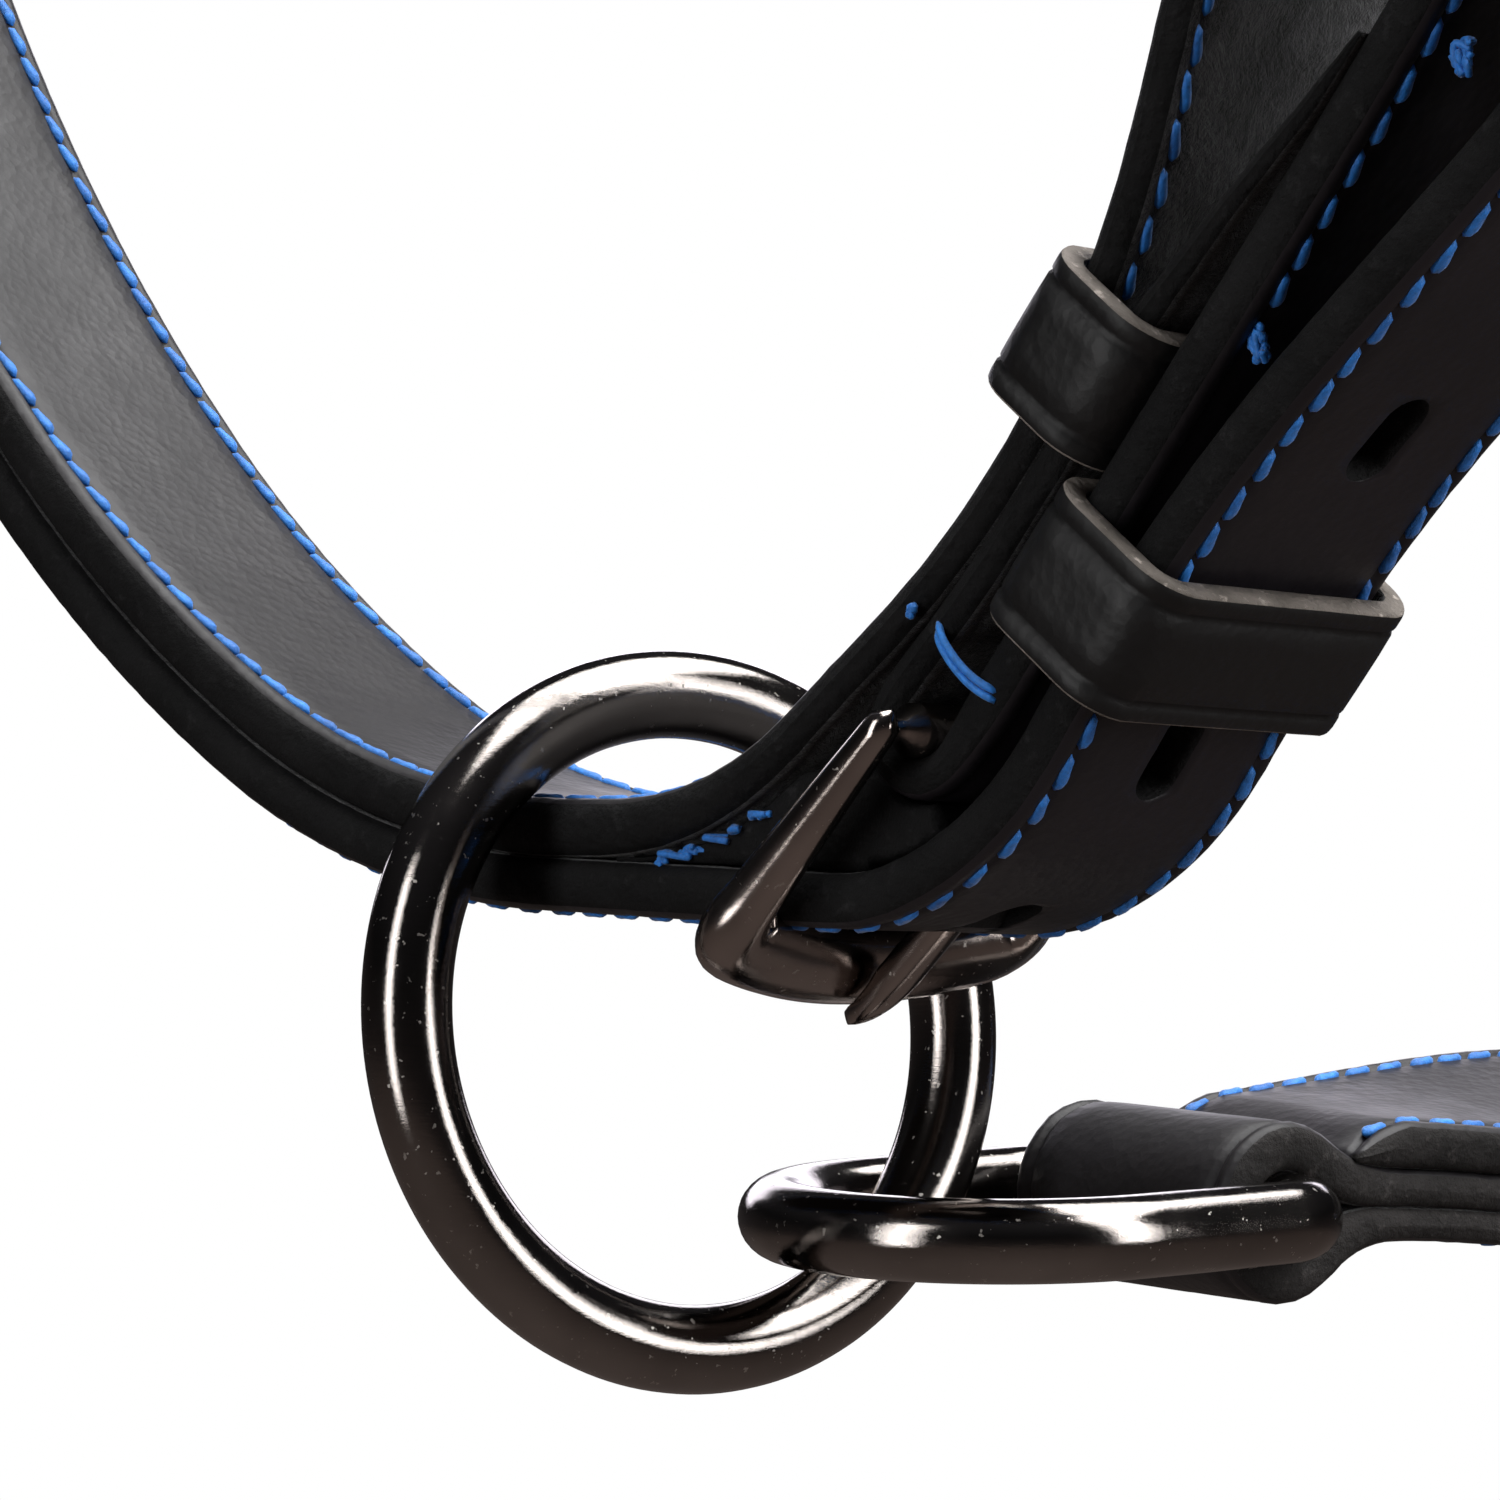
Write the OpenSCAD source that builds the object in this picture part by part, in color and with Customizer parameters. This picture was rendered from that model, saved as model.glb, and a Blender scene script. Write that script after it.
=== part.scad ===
// Martingale: a neck strap that hangs as a loop, a round chest ring on its lowest point,
// and a body strap that runs back from the ring to a buckled girth loop.
// Millimetres. +Z is up, +X runs along the foot of the neck loop, +Y points back to the girth.
// The origin is the middle of the neck strap's inner face at the crown.

/* [Leather] */
// Width of every strap
strap_w = 18.5; // [17:0.1:18.6]
// Thickness of the outer neck strap
outer_t = 3; // [2.6:0.1:3]
// Thickness of the guard strap that lines the left arm
guard_t = 3.3; // [2.8:0.1:3.4]
// Thickness of the guard strap's free end
guard_end_t = 2.3; // [1.8:0.1:2.3]
// Thickness of the buckle end that comes down the right arm
end_t = 2.8; // [2.2:0.1:2.8]
// Thickness of leather skived down for a fold
skived_t = 2; // [1.4:0.1:2]
// Thickness of the keepers
keeper_t = 1.4; // [1:0.1:1.5]
// Width of the keepers along the strap
keeper_w = 8; // [6:0.5:9]

/* [Neck loop] */
// Height of the crown's centre over the foot of the loop
crown_h = 340; // [300:5:380]
// Distance between the tongue holes
hole_pitch = 21.2; // [18:0.1:24]
// Number of tongue holes
hole_count = 9; // [5:1:9]

/* [Rings] */
// Radius of the chest ring to the middle of its wire
ring_r = 18.5; // [18.4:0.1:19]
// Thickness of the chest ring's wire
ring_wire = 5; // [4.6:0.1:5]
// Thickness of the D-ring's wire
dee_wire = 4.7; // [4.4:0.1:4.7]
// Depth of the D-ring from its bar to the far end of its bow
dee_depth = 26.5; // [26:0.1:27]

/* [Body strap] */
// Length of the body strap from the D-ring's bar to the end of its layers
body_l = 430; // [420:5:450]
// Length of the girth loop beyond the body strap
loop_l = 110; // [100:5:130]
// Inside height of the girth loop
loop_h = 30; // [28:1:40]

/* [Buckles] */
// Half of the distance between the middles of a buckle's side bars
buckle_half = 11.7; // [11.5:0.1:12]
// Thickness of a buckle's side bars
buckle_wire = 2.8; // [2.6:0.1:2.8]
// Thickness of a buckle's front bar
front_bar = 3.4; // [3:0.1:3.4]
// Thickness of a heel bar
heel_d = 3; // [2.8:0.1:3]

/* [Hidden] */
$fn = 48;
turn_step = 4;
bore_gap = 0.1;
heel_r = heel_d / 2;
bore_r = heel_r + bore_gap;
bar_r = buckle_wire / 2;
tongue_r = 1.15;
tongue_slot = 4;

// Paths are lists of [x, z, heading]: a leg is a straight [length, 0] or an arc [radius, turn].
function straight_leg(p, l) = [[p[0] + l * cos(p[2]), p[1] + l * sin(p[2]), p[2]]];
function arc_leg(p, r, turn) =
    let (n = ceil(abs(turn) / turn_step), k = sign(turn) * r)
    [for (i = [1 : n])
        let (h = p[2] + turn * i / n)
        [p[0] + k * (sin(h) - sin(p[2])), p[1] - k * (cos(h) - cos(p[2])), h]];
function leg(p, l) = l[1] == 0 ? straight_leg(p, l[0]) : arc_leg(p, l[0], l[1]);
function walk(p, legs, i = 0) =
    i == len(legs) ? [p]
    : let (q = leg(p, legs[i]), n = len(q))
        concat([p], [for (k = [0 : 1 : n - 2]) q[k]], walk(q[n - 1], legs, i + 1));
function last(v) = v[len(v) - 1];
function backwards(v) = [for (i = [len(v) - 1 : -1 : 0]) v[i]];
function turned(path) = [for (p = backwards(path)) [p[0], p[1], p[2] + 180]];
// The line d to the left of a path
function side(path, d) = [for (p = path) [p[0] - d * sin(p[2]), p[1] + d * cos(p[2])]];
function band(path, a, b) = concat(side(path, a), backwards(side(path, b)));
function along(path, s, i = 0) =
    let (a = path[i], b = path[i + 1], d = norm([b[0] - a[0], b[1] - a[1]]))
    s <= d || i == len(path) - 2 ? a + (b - a) * s / d : along(path, s - d, i + 1);
function path_length(path, i = 0) =
    i == len(path) - 1 ? 0
    : norm([path[i + 1][0] - path[i][0], path[i + 1][1] - path[i][1]]) + path_length(path, i + 1);
function arc_pts(c, r, a, b) =
    let (n = ceil(abs(b - a) / 10))
    [for (i = [0 : n]) c + r * [cos(a + (b - a) * i / n), sin(a + (b - a) * i / n)]];
function round_box(w, h, r) = concat(
    arc_pts([w / 2 - r, h / 2 - r], r, 0, 90), arc_pts([r - w / 2, h / 2 - r], r, 90, 180),
    arc_pts([r - w / 2, r - h / 2], r, 180, 270), arc_pts([w / 2 - r, r - h / 2], r, 270, 360));

// Neck loop: its paths follow the outer face of the outer strap from the foot of the loop
foot = [-4, 0.6];
left_arm = walk([foot[0], foot[1], 180], [[56, -30], [110, -15], [160, -45]]);
billet_gap = 0.6;
billet = walk([foot[0], foot[1], -1.6],
    [[21.2, 0], [10, 17], [21.5, 41], [100, -15], [12, 0], [40, 37.6], [130, -10], [173.6, 21], [95, 0]]);
neck_heel = [22.5, 10.6];
end_heading = 52.5;
fold_back = [[0, 3.8], [4, 3.2], [9, 2.8], [17, 2.6], [26, 2.2], [33, 1], [40, -0.3], [45, -1.45], [42, -1.45],
    [35, -0.5], [27, 0.3], [18, 0.6], [9, 0.7], [4, 1.1], [0, 1.6]];
end_path = walk([neck_heel[0] + (bore_r + end_t) * sin(end_heading),
    neck_heel[1] - (bore_r + end_t) * cos(end_heading), end_heading], [[40, 0], [170, 37.5]]);
crown_r = (last(end_path)[0] - last(left_arm)[0]) / 2;
crown_arc = arc_leg([last(left_arm)[0], crown_h, 90], crown_r, -180);
outer_path = concat(turned(billet), [for (i = [1 : len(left_arm) - 1]) left_arm[i]],
    [[last(left_arm)[0], crown_h, 90]], crown_arc, turned(end_path));
crown = [last(left_arm)[0] + crown_r, crown_h + crown_r - outer_t];
first_hole = 18.8;
tongue_shift = 4;

// Guard strap: its path follows its inner face from the crown's left side to its free tip
guard_rise = 150;
guard_free = walk([foot[0], foot[1] + outer_t + guard_t, 0], [[4, 0], [20, 39], [8.5, 0], [50, 36], [52, 0]]);

// Buckles: the way from the heel bar to the front bar, as a heading and a length
neck_frame_h = 226;
frame_l = 15;
frame_corner = 2;
bow_r = 32;
tongue_gap = 0.35;
tongue_l = 20;

// Chest ring
ring_c = [-1.7, 0, -5.3];
ring_turn = [0, 84, -13];

// D-ring and body strap
dee_c = [12, 27.8, -15.1];
dee_turn = [3.5, 2, -9.4];
dee_half = 12.25;
dee_corner = 3.5;
roll_t = 2.4;
upper_t = 2.2;
lower_t = 2;
top_t = 2.8;
top_start = 11;
seam_gap = 0.02;
body_pitch = -0.5;

// Girth end, in the body strap's own [along, up] plane
girth_t = 3;
girth_heel = [430, upper_t + top_t + skived_t + bore_r];
girth_frame_h = 34;
girth_frame_l = 15.9;
girth_inner = girth_heel[1] + bore_r + skived_t + 0.2;
girth_start = 380;
loop_end = body_l + loop_l;
loop_top = loop_h - lower_t;
descent_turn = 25;
descent_r = 40;
descent_l = (loop_top - girth_inner - 2 * descent_r * (1 - cos(descent_turn))) / sin(descent_turn);
girth_path = walk([girth_start, -lower_t, 0],
    [[loop_end - girth_start, 0], [loop_h / 2, 180], [45, 0], [descent_r, descent_turn],
    [descent_l, 0], [descent_r, -descent_turn], [18, 0], [22, 15.5], [22, -15.5], [22, 0],
    [40, 21.1], [40, -21.1], [60, 0]]);
girth_hole_s = path_length(girth_path) - 129.7;

module in_object() translate([-crown[0], 0, -crown[1]]) children();
// A straight piece's own frame: X along the strap, Y across it, Z to the left of its heading
module at(p) translate([p[0], 0, p[1]]) rotate([0, -p[2], 0]) children();
module strap(outline) rotate([90, 0, 0]) linear_extrude(strap_w, center = true) polygon(outline);
module girth_band(outline, w = strap_w)
    rotate([90, 0, 90]) linear_extrude(w, center = true) polygon(outline);
module in_dee() in_object() translate(dee_c) rotate(dee_turn) children();
module in_body() in_dee() rotate([body_pitch, 0, 0]) children();
// A point on a path in the body strap's plane, with X along the strap and Y across it
module at_body(p) translate([0, p[0], p[1]]) rotate([p[2], 0, 0]) rotate([0, 0, 90]) children();

module oval_hole(l, w, h) {
    for (x = [w / 2 - l / 2, l / 2 - w / 2]) translate([x, 0, 0]) cylinder(h = h, d = w, center = true);
    cube([l - w, w, h], center = true);
}

// Cuts a strap's end to a point; X points off the end
module tip_cut(l, h)
    for (k = [-1, 1])
        linear_extrude(h, center = true)
            polygon([[1, k * 0.5], [-l, k * strap_w / 2], [-l, k * strap_w], [1, k * strap_w]]);

// A leather band round a stack of straps, with the stack's middle at the origin
module keeper(slot_h, slot_w = strap_w + 0.6)
    rotate([90, 0, 90]) linear_extrude(keeper_w, center = true) difference() {
        polygon(round_box(slot_w + 2 * keeper_t, slot_h + 2 * keeper_t, 2));
        polygon(round_box(slot_w, slot_h, 0.7));
    }

// A buckle's frame: heel at the origin, bowed front bar towards +X, tongue side +Z
module buckle_frame(l) {
    half_turn = asin((buckle_half - frame_corner) / (bow_r - frame_corner));
    bow_turn = half_turn + 1.5;
    difference() {
        union() {
            for (k = [-1, 1]) {
                translate([0, k * buckle_half, 0]) rotate([0, 90, 0]) cylinder(h = l, r = bar_r);
                frame_arc([l, k * (buckle_half - frame_corner)], frame_corner, k > 0 ? 0 : -90, 90, bar_r);
                translate([0, k * buckle_half, 0]) rotate([90, 0, 0])
                    cylinder(h = buckle_wire + 0.4, r = heel_r + 1, center = true);
            }
            frame_arc([l - (bow_r - frame_corner) * cos(half_turn), 0], bow_r, -bow_turn, 2 * bow_turn,
                front_bar / 2);
        }
        rotate([90, 0, 0]) cylinder(h = 2 * buckle_half + 8, r = heel_r - 0.02, center = true);
    }
}

module frame_arc(c, r, a, turn, wire_r)
    translate([c[0], c[1], 0]) rotate([0, 0, a]) rotate_extrude(angle = turn)
        translate([r, 0]) circle(r = wire_r);

module heel_bar()
    rotate([90, 0, 0]) cylinder(h = 2 * buckle_half + buckle_wire + 0.6, r = heel_r, center = true);

// A buckle's tongue: an eye round the heel bar and a straight prong over the front bar
module buckle_tongue(l, lift) {
    difference() {
        rotate([90, 0, 0]) cylinder(h = 3, r = bore_r + 1.2, center = true);
        rotate([90, 0, 0]) cylinder(h = 4, r = bore_r, center = true);
    }
    difference() {
        rotate([0, -lift, 0]) translate([0, 0, front_bar / 2 + tongue_r + tongue_gap]) rotate([0, 90, 0])
            cylinder(h = l, r = tongue_r);
        rotate([90, 0, 0]) cylinder(h = 4, r = bore_r, center = true);
    }
}

module neck_strap() color("#1b1a1c") in_object() difference() {
    union() {
        strap(band(outer_path, 0, -outer_t));
        neck_end_fold();
    }
    at([neck_heel[0], neck_heel[1], 0]) rotate([90, 0, 0]) cylinder(h = 30, r = bore_r, center = true);
    at([neck_heel[0], neck_heel[1], end_heading]) translate([-3.5, 0, 0.3])
        cube([16, tongue_slot, 8.2], center = true);
    at(along(billet, first_hole + tongue_shift)) oval_hole(9.8, 3.4, 12);
    for (i = [1 : hole_count - 1]) at(along(billet, first_hole + i * hole_pitch)) oval_hole(5.5, 2.8, 8);
    at(last(billet)) tip_cut(14, 20);
}

// The strap's buckle end, folded round the heel bar and returned up the inside of the right arm
module neck_end_fold() {
    strap([for (p = fold_back) [neck_heel[0], neck_heel[1]]
        + p[0] * [cos(end_heading), sin(end_heading)] + p[1] * [-sin(end_heading), cos(end_heading)]]);
    at([neck_heel[0], neck_heel[1], 0]) rotate([90, 0, 0])
        cylinder(h = strap_w, r = bore_r + skived_t + 0.2, center = true);
}

module guard_strap() color("#232225") in_object() {
    lined = concat([[last(left_arm)[0], last(left_arm)[1] + guard_rise, 90]], backwards(left_arm));
    inner = concat(side(lined, -outer_t - guard_t), side(guard_free, 0));
    outer = concat(side(lined, -outer_t - 0.01), tapered_side(guard_free, guard_t - 0.01, guard_end_t, 8));
    difference() {
        strap(concat(inner, backwards(outer)));
        at(last(guard_free)) tip_cut(14, 20);
    }
}

// The line to the right of a path whose distance goes from a to b over its first n points
function tapered_side(path, a, b, n) = [for (i = [0 : len(path) - 1])
    let (p = path[i], d = a + (b - a) * min(i / n, 1)) [p[0] + d * sin(p[2]), p[1] - d * cos(p[2])]];

// The buckle end's own frame: X up the end from the heel bar, Z towards the guard strap
module at_heel(x, z) at([neck_heel[0], neck_heel[1], end_heading]) translate([x, 0, z]) children();

module guard_keeper() color("#2b2a2d") in_object() at_heel(21.7, 3.28) keeper(6.45);

module neck_keeper() color("#2b2a2d") in_object() at_heel(12.5, -5.18) keeper(7.85);

module neck_running_keeper() color("#2b2a2d") in_object()
    at([last(end_path)[0], last(end_path)[1] + 40, 90])
        translate([0, 0, -billet_gap / 2]) keeper(2 * outer_t + billet_gap + 0.7);

// Thread wrapped round the near edge of the folded buckle end
module fold_tack() color("#1f74d0") in_object()
    for (k = [0 : 2]) at([neck_heel[0], neck_heel[1], end_heading])
        translate([4.5 + 0.5 * k, -strap_w / 2 - 0.35, -1.5])
            cylinder(h = 6.8, r = 0.3, center = true, $fn = 24);

module neck_buckle_frame() color("#3a3838") in_object()
    at([neck_heel[0], neck_heel[1], neck_frame_h]) buckle_frame(frame_l);

module neck_heel_bar() color("#3a3838") in_object()
    at([neck_heel[0], neck_heel[1], neck_frame_h]) heel_bar();

module neck_buckle_tongue() color("#3a3838") in_object()
    at([neck_heel[0], neck_heel[1], neck_frame_h]) buckle_tongue(tongue_l, 0);

module chest_ring() color("#3a3838") in_object()
    translate(ring_c) rotate(ring_turn) rotate_extrude() translate([ring_r, 0]) circle(d = ring_wire);

module dee_arc(c, r, a, turn)
    translate([c[0], c[1], 0]) rotate([0, 0, a]) rotate_extrude(angle = turn)
        translate([r, 0]) circle(d = dee_wire);

module d_ring() color("#3a3838") in_dee() {
    bow_y = dee_half - dee_depth;
    for (k = [-1, 1]) {
        translate([k * dee_half, bow_y, 0]) rotate([-90, 0, 0])
            cylinder(h = -bow_y - dee_corner, d = dee_wire);
        dee_arc([k * (dee_half - dee_corner), -dee_corner], dee_corner, k > 0 ? 0 : 90, 90);
    }
    rotate([0, 90, 0]) cylinder(h = 2 * (dee_half - dee_corner), d = dee_wire, center = true);
    dee_arc([0, bow_y], dee_half, 180, 180);
}

// The core of the body strap: one strap folded round the D-ring's bar, its two legs together
module body_strap() color("#232225") in_body() {
    roll_r = dee_wire / 2 + bore_gap + roll_t;
    fillet = 4;
    up = [sqrt(pow(roll_r + fillet, 2) - pow(upper_t + fillet, 2)), upper_t + fillet];
    low = [sqrt(pow(roll_r + fillet, 2) - pow(lower_t + fillet, 2)), -lower_t - fillet];
    up_a = atan2(up[1], up[0]);
    low_a = atan2(low[1], low[0]);
    difference() {
        girth_band(concat(
            arc_pts([0, 0], roll_r, up_a, 360 + low_a),
            arc_pts(low, fillet, 180 + low_a, 90),
            [[body_l, -lower_t], [body_l, upper_t]],
            arc_pts(up, fillet, 270, 180 + up_a)));
        rotate([0, 90, 0]) cylinder(h = 40, r = dee_wire / 2 + bore_gap, center = true);
    }
}

module body_top_layer() color("#2d2b30") in_body()
    girth_band([[top_start, upper_t + seam_gap], [body_l, upper_t + seam_gap], [body_l, upper_t + top_t],
        [top_start + 2, upper_t + top_t], [top_start, upper_t + 0.8]]);

module girth_strap() color("#1b1a1c") in_body() difference() {
    girth_band(band(girth_path, 0, -girth_t));
    at_body(along(girth_path, girth_hole_s)) oval_hole(9.6, 3.4, 10);
    for (i = [1 : 3])
        at_body(along(girth_path, girth_hole_s + i * hole_pitch)) oval_hole(5.5, 2.8, 10);
    at_body(last(girth_path)) tip_cut(14, 20);
}

// A short strap folded round the heel bar of the girth buckle and sewn on the body strap
module girth_chape() color("#232225") in_body() {
    heel_leg = walk([girth_heel[0], girth_heel[1] + bore_r + skived_t, 180],
        [[22, 15.5], [22, -15.5], [26, 0]]);
    end_s = last(heel_leg)[0];
    difference() {
        union() {
            girth_band(band(heel_leg, 0, skived_t));
            girth_band([[end_s, upper_t + top_t], [girth_heel[0], upper_t + top_t],
                [girth_heel[0], upper_t + top_t + skived_t], [end_s, upper_t + top_t + skived_t]]);
            translate([0, girth_heel[0], girth_heel[1]]) rotate([0, 90, 0])
                cylinder(h = strap_w, r = bore_r + skived_t, center = true);
        }
        translate([0, girth_heel[0], girth_heel[1]]) rotate([0, 90, 0])
            cylinder(h = 30, r = bore_r, center = true);
        translate([0, girth_heel[0] + 2, girth_heel[1]]) cube([tongue_slot, 14, 7.6], center = true);
    }
}

module girth_keeper() color("#2b2a2d") in_body()
    at_body([404, upper_t + top_t + skived_t + 0.1 + keeper_t + 2.85, 180]) keeper(5.7);

module girth_running_keeper() color("#2b2a2d") in_body()
    at_body([346, 0.5 * (5.4 + girth_t - lower_t), 180]) keeper(5.8 + girth_t + lower_t);

module girth_buckle_frame() color("#3a3838") in_body()
    at_body([girth_heel[0], girth_heel[1], girth_frame_h]) buckle_frame(girth_frame_l);

module girth_heel_bar() color("#3a3838") in_body()
    at_body([girth_heel[0], girth_heel[1], girth_frame_h]) heel_bar();

module girth_buckle_tongue() color("#3a3838") in_body()
    at_body([girth_heel[0], girth_heel[1], girth_frame_h]) buckle_tongue(tongue_l, 0);

neck_strap();
guard_strap();
guard_keeper();
neck_keeper();
neck_running_keeper();
fold_tack();
neck_buckle_frame();
neck_heel_bar();
neck_buckle_tongue();
chest_ring();
d_ring();
body_strap();
body_top_layer();
girth_strap();
girth_chape();
girth_keeper();
girth_running_keeper();
girth_buckle_frame();
girth_heel_bar();
girth_buckle_tongue();
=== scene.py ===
"""The looks of the martingale: leather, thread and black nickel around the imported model.

Sizes are in millimetres in the design's own frame, as in the part's source, until ROW turns them
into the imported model's metres: its origin is the inner face of the neck strap's crown.
"""
import math
import random

import bmesh
import bpy
import numpy as np
from mathutils import Matrix, Vector, noise


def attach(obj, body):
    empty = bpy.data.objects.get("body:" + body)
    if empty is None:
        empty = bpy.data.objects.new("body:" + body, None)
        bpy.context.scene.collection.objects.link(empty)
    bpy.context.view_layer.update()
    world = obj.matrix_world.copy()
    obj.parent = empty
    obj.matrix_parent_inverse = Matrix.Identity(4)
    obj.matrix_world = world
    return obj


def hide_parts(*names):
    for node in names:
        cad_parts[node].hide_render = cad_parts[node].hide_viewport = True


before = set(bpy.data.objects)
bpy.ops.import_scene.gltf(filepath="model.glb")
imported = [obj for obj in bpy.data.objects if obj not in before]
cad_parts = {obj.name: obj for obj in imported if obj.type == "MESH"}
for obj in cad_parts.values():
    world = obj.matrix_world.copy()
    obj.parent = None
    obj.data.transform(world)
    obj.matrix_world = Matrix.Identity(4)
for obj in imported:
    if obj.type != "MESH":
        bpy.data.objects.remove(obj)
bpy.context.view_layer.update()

# ---------------- driving dimensions, mm

# Straps: the width that all share, and thicknesses
STRAP_W = 18.5
OUTER_T = 3.0
GUARD_T = 3.3
GUARD_END_T = 2.3
SKIVED_T = 2.0
SKIVED_END_T = 0.9
UPPER_T = 2.2
LOWER_T = 2.0
TOP_T = 2.8
GIRTH_T = 3.0
# The body strap in its fold, and the room between it and the D-ring's bar
FOLD_T = 2.85
FOLD_GAP = 0.155

# The neck loop
CROWN_H = 340.0
FOOT = (-4.0, 0.6)
NECK_HEEL = (22.5, 10.6)
END_HEADING = 52.5
GUARD_RISE = 150.0
BILLET_GAP = 0.6
# Length of strap past the end of the row on the buckle end: a stretch, the roll and the return leg
FOLD_FROM_ROW = 82.5

# The body strap and the girth loop
BODY_L = 430.0
BODY_PITCH = -0.5
TOP_START = 11.0
LOOP_L = 110.0
LOOP_H = 30.0
GIRTH_START = 380.0
GIRTH_HEEL = (430.0, 8.6)
GIRTH_BEND_R = 40.0
GIRTH_BEND = 25.0
# The body strap leans to one side between these lengths, turning about a line this high in it
LEAN = -14.0
LEAN_SPAN = (4.0, 32.0, 150.0, 300.0)
LEAN_AXIS = 1.2

# Pointed tips and holes: (length, width) of the holes, and the hole that the tongue is in
TIP_L = 14.0
ROW_FROM_TIP = 17.0
HOLE_PITCH = 21.2
HOLE_COUNT = 9
FIRST_HOLE = 18.8
TONGUE_SHIFT = 4.0
BILLET_HOLE = (5.5, 2.8)
NECK_TONGUE_HOLE = (9.8, 3.4)
GIRTH_TONGUE_HOLE = (9.6, 3.4)
GIRTH_HOLE_FROM_TIP = 129.7

# Keepers: (along, left) of the heel bar and slot height for the two fixed ones on the neck strap
KEEPER_T = 1.4
KEEPER_W = 8.0
GUARD_KEEPER = (21.7, 3.28, 6.45)
NECK_KEEPER = (12.5, -5.18, 7.85)
NECK_RUNNING_RISE = 40.0
GIRTH_KEEPER_Y = 404.0
GIRTH_RUNNING_Y = 346.0

# Buckles: half width, heel bar and its bore, and (heading, length) of each frame
BUCKLE_HALF = 11.7
HEEL_R = 1.5
BORE_R = 1.6
NECK_FRAME = (226.0, 15.0)
GIRTH_FRAME = (34.0, 15.9)

# The chest ring and the D-ring
RING_R = 18.5
RING_WIRE = 5.0
RING_C = (-1.7, 0.0, -5.3)
RING_TURN = (0, 84, -13)
DEE_WIRE = 4.7
DEE_DEPTH = 26.5
DEE_HALF = 12.25
DEE_CORNER = 3.5
DEE_C = (12.0, 27.8, -15.1)
DEE_TURN = (3.5, 2, -9.4)

# The sewing: rows either side of a strap's middle, one stitch, and the radii of loose thread
ROW_OFFSET = 7.63
STITCH_PITCH = 2.5
STITCH_L = 2.3
STITCH_R = 0.38
STITCH_SLANT = 11.0
STITCH_SINK = 0.09
KNOT_R = 0.2
TACK_R = 0.22

# The floor lies below the body strap at its lowest pose
FLOOR_DROP = 640.0
FLOOR_HALF = 1.1
# The camera's place, the direction it looks in and its turn about that direction, in degrees
CAMERA_AT = (230.2, -246.6, -0.4)
CAMERA_AZIMUTH = 42.725
CAMERA_ELEVATION = 1.764
CAMERA_ROLL = 1.628

# Steps between the points of a line: the paths, and the straps' smoothed middles
STEP = 1.4
FINE_STEP = 0.9
# How far a strap's edge wavers, as a share of its half width
EDGE_WAVE = 0.00144
# Material numbers of a strap's grain face, edge and flesh face
GRAIN, EDGE, FLESH = 0, 1, 2


# ---------------- paths in a plane

def walk(start, legs, step=STEP):
    """Points (x, z, heading) about step apart along straight (length, 0) and arc (radius, turn) legs."""
    path = [tuple(start)]
    for size, turn in legs:
        x, z, heading = path[-1]
        h = math.radians(heading)
        length = abs(math.radians(turn)) * size if turn else size
        count = max(1, math.ceil(length / step))
        for i in range(1, count + 1):
            if turn == 0:
                d = size * i / count
                path.append((x + d * math.cos(h), z + d * math.sin(h), heading))
            else:
                k = math.copysign(size, turn)
                a = h + math.radians(turn) * i / count
                path.append((x + k * (math.sin(a) - math.sin(h)), z - k * (math.cos(a) - math.cos(h)),
                             heading + turn * i / count))
    return path


def backwards(path):
    return [(x, z, h + 180) for x, z, h in reversed(path)]


def side(path, d):
    """The line d to the left of a path; d may be a list."""
    ds = d if hasattr(d, "__len__") else [d] * len(path)
    return [(x - k * math.sin(math.radians(h)), z + k * math.cos(math.radians(h)))
            for (x, z, h), k in zip(path, ds)]


def lengths(points):
    p = np.array([q[:2] for q in points], float)
    return np.concatenate([[0], np.cumsum(np.hypot(*np.diff(p, axis=0).T))])


def ease(t):
    t = min(1.0, max(0.0, t))
    return t * t * (3 - 2 * t)


def evenly(points, values, step=STEP):
    """A line of points, with a value at each, resampled to even steps along its straight pieces."""
    s = lengths(points)
    count = max(2, round(s[-1] / step))
    t = np.linspace(0, s[-1], count + 1)
    p = np.array([q[:2] for q in points], float)
    return np.stack([np.interp(t, s, p[:, 0]), np.interp(t, s, p[:, 1])], 1), np.interp(t, s, values)


def relax(points, rounds):
    """Smooths a line of points, with its ends kept."""
    p = np.array(points, float)
    for _ in range(rounds):
        p[1:-1] = 0.25 * p[:-2] + 0.5 * p[1:-1] + 0.25 * p[2:]
    return p


def at_heel(points):
    """Points (along, left) of the neck buckle's heel frame, in the neck loop's plane."""
    a = math.radians(END_HEADING)
    return [(NECK_HEEL[0] + u * math.cos(a) - v * math.sin(a),
             NECK_HEEL[1] + u * math.sin(a) + v * math.cos(a)) for u, v in points]


def unit(vectors):
    return vectors / np.linalg.norm(vectors, axis=1)[:, None]


def left_of(points):
    """Unit vectors to the left of a line in a plane."""
    t = unit(np.gradient(points, axis=0))
    return np.stack([-t[:, 1], t[:, 0]], 1)


# ---------------- the parts' lines, as in the design

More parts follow.
